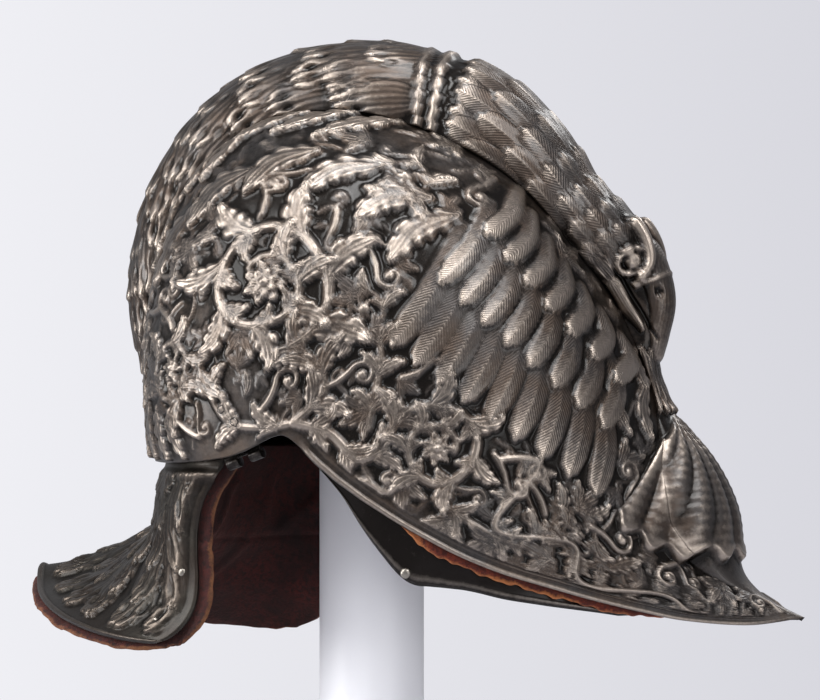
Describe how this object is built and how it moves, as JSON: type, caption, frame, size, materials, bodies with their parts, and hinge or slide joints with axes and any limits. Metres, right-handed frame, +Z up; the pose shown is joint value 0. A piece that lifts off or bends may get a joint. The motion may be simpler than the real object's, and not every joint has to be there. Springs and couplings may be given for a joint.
{
  "type": "parade helmet on a display stand",
  "caption": "Embossed steel burgonet with a crested bowl, a pointed peak and a flared nape plate, lined with velvet, resting on a plain round post with a foot.",
  "frame": {"origin": "centre of the stand's underside", "axes": "+X towards the point of the peak, +Y to the wearer's left, +Z up"},
  "size_m": [0.3233, 0.1826, 0.3126],
  "materials": {
    "bowl_steel": "dark brown patina, rubbed brighter on the raised forms",
    "nape_steel": "grey-green patina, rubbed brighter on the raised forms",
    "brow_steel": "plain dark patina, satin",
    "rivet_steel": "bright, worn",
    "velvet": "dark red velvet, worn tan at the edges",
    "peak_velvet": "orange-red velvet, puckered at the edge",
    "stand_paint": "smooth white, satin"
  },
  "bodies": {
    "root": {"bowl": "bowl_steel", "bowl_lining": "velvet", "nape_plate": "nape_steel", "nape_lining": "velvet", "peak_lining": "peak_velvet", "brow_plate": "brow_steel", "nape_rivet_right_1": "rivet_steel", "nape_rivet_right_2": "rivet_steel", "nape_rivet_right_3": "rivet_steel", "nape_rivet_left_1": "rivet_steel", "nape_rivet_left_2": "rivet_steel", "nape_rivet_left_3": "rivet_steel", "brow_rivet_right_1": "rivet_steel", "brow_rivet_left_1": "rivet_steel", "cheek_hinge_right": "brow_steel", "cheek_hinge_left": "brow_steel", "stand_post": "stand_paint", "stand_cap": "stand_paint", "stand_foot": "stand_paint"}
  },
  "joints": []
}
